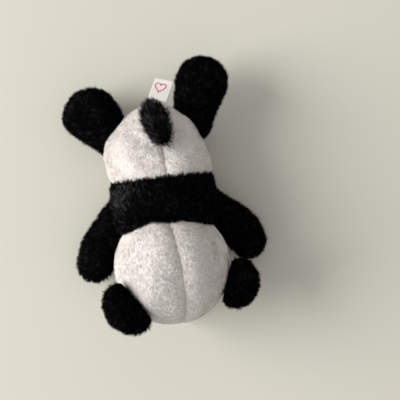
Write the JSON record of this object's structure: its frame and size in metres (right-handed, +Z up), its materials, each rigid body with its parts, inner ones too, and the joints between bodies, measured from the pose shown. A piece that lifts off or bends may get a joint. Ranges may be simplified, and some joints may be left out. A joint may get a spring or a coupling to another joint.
{
  "type": "plush keychain",
  "caption": "Small black and white plush panda with sewn limbs, stuffed ball head, tail, label, and a ribbon loop with a swivel snap clasp; it lies on its belly.",
  "frame": {"origin": "under the torso, on the plane that the belly rests on", "axes": "+Z up through the back, +Y from the head to the rump, +X to the right seen from above with the head at the bottom"},
  "size_m": [0.0852, 0.1129, 0.0513],
  "materials": {
    "black_plush": "short black plush pile",
    "white_plush": "short off-white plush pile",
    "black_felt": "black felt",
    "fibre_filling": "loose polyester fibre",
    "sewing_thread": "twisted thread",
    "woven_ribbon": "woven satin ribbon",
    "black_plastic": "polished",
    "nylon": "natural nylon",
    "nickel_steel": "nickel plated"
  },
  "bodies": {
    "torso": {"torso_filling": "fibre_filling", "chest_back_panel": "black_plush", "chest_front_panel": "black_plush", "rump_left_panel": "white_plush", "rump_right_panel": "white_plush", "belly_panel": "white_plush"},
    "neck_seam": {"neck_stitching": "sewing_thread"},
    "head": {"head_filling": "fibre_filling", "head_back_left_panel": "white_plush", "head_back_right_panel": "white_plush", "face_panel": "white_plush", "muzzle": "white_plush", "left_eye_patch": "black_felt", "right_eye_patch": "black_felt", "left_eye": "black_plastic", "right_eye": "black_plastic", "left_eye_washer": "nylon", "right_eye_washer": "nylon", "nose": "black_plastic", "mouth_stitch": "sewing_thread"},
    "left_ear": {"left_ear_top_layer": "black_plush", "left_ear_bottom_layer": "black_plush"},
    "right_ear": {"right_ear_top_layer": "black_plush", "right_ear_bottom_layer": "black_plush"},
    "left_arm_seam": {"left_arm_stitching": "sewing_thread"},
    "left_arm": {"left_arm_filling": "fibre_filling", "left_arm_top_panel": "black_plush", "left_arm_bottom_panel": "black_plush"},
    "right_arm_seam": {"right_arm_stitching": "sewing_thread"},
    "right_arm": {"right_arm_filling": "fibre_filling", "right_arm_top_panel": "black_plush", "right_arm_bottom_panel": "black_plush"},
    "left_leg_seam": {"left_leg_stitching": "sewing_thread"},
    "left_leg": {"left_leg_filling": "fibre_filling", "left_leg_top_panel": "black_plush", "left_leg_bottom_panel": "black_plush"},
    "right_leg_seam": {"right_leg_stitching": "sewing_thread"},
    "right_leg": {"right_leg_filling": "fibre_filling", "right_leg_top_panel": "black_plush", "right_leg_bottom_panel": "black_plush"},
    "tail": {"tail_top_layer": "black_plush", "tail_bottom_layer": "black_plush"},
    "label": {"woven_label": "woven_ribbon"},
    "hanging_loop": {"hanging_loop": "woven_ribbon"},
    "jump_ring": {"jump_ring": "nickel_steel"},
    "swivel": {"clasp_swivel": "nickel_steel"},
    "clasp": {"clasp_body": "nickel_steel", "gate_pin": "nickel_steel"},
    "gate": {"clasp_gate": "nickel_steel"}
  },
  "joints": [
    {"name": "head_turn", "type": "hinge", "parent": "torso", "child": "neck_seam", "pos_m": [-0.0005, -0.044, 0.0274], "axis": [0, 0, 1], "range_deg": [-12, 12], "stiffness_Nm_per_rad": 0.02},
    {"name": "head_nod", "type": "hinge", "parent": "neck_seam", "child": "head", "pos_m": [-0.0005, -0.044, 0.0274], "axis": [-1, 0, 0], "range_deg": [-12, 12], "stiffness_Nm_per_rad": 0.02},
    {"name": "left_ear_flex", "type": "hinge", "parent": "head", "child": "left_ear", "pos_m": [-0.01682, -0.05593, 0.04324], "axis": [-0.5184, 0.8486, 0.1049], "range_deg": [-6, 25], "stiffness_Nm_per_rad": 0.002},
    {"name": "right_ear_flex", "type": "hinge", "parent": "head", "child": "right_ear", "pos_m": [0.02301, -0.05292, 0.03295], "axis": [-0.3725, -0.9233, 0.0932], "range_deg": [-6, 25], "stiffness_Nm_per_rad": 0.002},
    {"name": "left_arm_swing", "type": "hinge", "parent": "torso", "child": "left_arm_seam", "pos_m": [-0.0194, -0.016, 0.0126], "axis": [0, 0, -1], "range_deg": [-2, 38], "stiffness_Nm_per_rad": 0.01},
    {"name": "left_arm_lift", "type": "hinge", "parent": "left_arm_seam", "child": "left_arm", "pos_m": [-0.0194, -0.016, 0.0126], "axis": [-0.8231, 0.5678, 0], "range_deg": [-15, 12], "stiffness_Nm_per_rad": 0.01},
    {"name": "right_arm_swing", "type": "hinge", "parent": "torso", "child": "right_arm_seam", "pos_m": [0.0172, -0.0159, 0.0128], "axis": [0, 0, 1], "range_deg": [-2, 34], "stiffness_Nm_per_rad": 0.01},
    {"name": "right_arm_lift", "type": "hinge", "parent": "right_arm_seam", "child": "right_arm", "pos_m": [0.0172, -0.0159, 0.0128], "axis": [-0.7986, -0.6018, 0], "range_deg": [-15, 10], "stiffness_Nm_per_rad": 0.01},
    {"name": "left_leg_swing", "type": "hinge", "parent": "torso", "child": "left_leg_seam", "pos_m": [-0.0187, 0.0128, 0.0146], "axis": [0, 0, 1], "range_deg": [-3, 20], "stiffness_Nm_per_rad": 0.01},
    {"name": "left_leg_lift", "type": "hinge", "parent": "left_leg_seam", "child": "left_leg", "pos_m": [-0.0187, 0.0128, 0.0146], "axis": [0.7314, 0.682, 0], "range_deg": [-18, 14], "stiffness_Nm_per_rad": 0.01},
    {"name": "right_leg_swing", "type": "hinge", "parent": "torso", "child": "right_leg_seam", "pos_m": [0.0159, 0.0149, 0.018], "axis": [0, 0, -1], "range_deg": [-2.5, 20], "stiffness_Nm_per_rad": 0.01},
    {"name": "right_leg_lift", "type": "hinge", "parent": "right_leg_seam", "child": "right_leg", "pos_m": [0.0159, 0.0149, 0.018], "axis": [0.9272, -0.3746, 0], "range_deg": [-18, 14], "stiffness_Nm_per_rad": 0.01},
    {"name": "tail_flex", "type": "hinge", "parent": "torso", "child": "tail", "pos_m": [0.0036, 0.0076, 0.0419], "axis": [0.9681, 0.2504, 0], "range_deg": [-2, 50], "stiffness_Nm_per_rad": 0.002},
    {"name": "label_flex", "type": "hinge", "parent": "torso", "child": "label", "pos_m": [0.0032, 0.0266, 0.0206], "axis": [0.9397, -0.342, 0], "range_deg": [-20, 35], "stiffness_Nm_per_rad": 0.0003},
    {"name": "hanging_loop_flex", "type": "hinge", "parent": "head", "child": "hanging_loop", "pos_m": [-0.0005, -0.0663, 0.0166], "axis": [1, 0, 0], "range_deg": [-80, 4], "stiffness_Nm_per_rad": 0.0006},
    {"name": "jump_ring_swing", "type": "hinge", "parent": "hanging_loop", "child": "jump_ring", "pos_m": [-0.0005, -0.068, 0.0036], "axis": [1, 0, 0], "range_deg": [-60, 6]},
    {"name": "swivel_swing", "type": "hinge", "parent": "jump_ring", "child": "swivel", "pos_m": [-0.00573, -0.062, 0.0036], "axis": [0.309, 0.9511, 0], "range_deg": [-20, 5]},
    {"name": "clasp_spin", "type": "hinge", "parent": "swivel", "child": "clasp", "pos_m": [-0.00573, -0.062, 0.0036], "axis": [-0.9511, 0.309, 0], "continuous": true},
    {"name": "gate_swing", "type": "hinge", "parent": "clasp", "child": "gate", "pos_m": [-0.01198, -0.05534, 0.0036], "axis": [0, 0, 1], "range_deg": [0, 22], "stiffness_Nm_per_rad": 0.004}
  ]
}
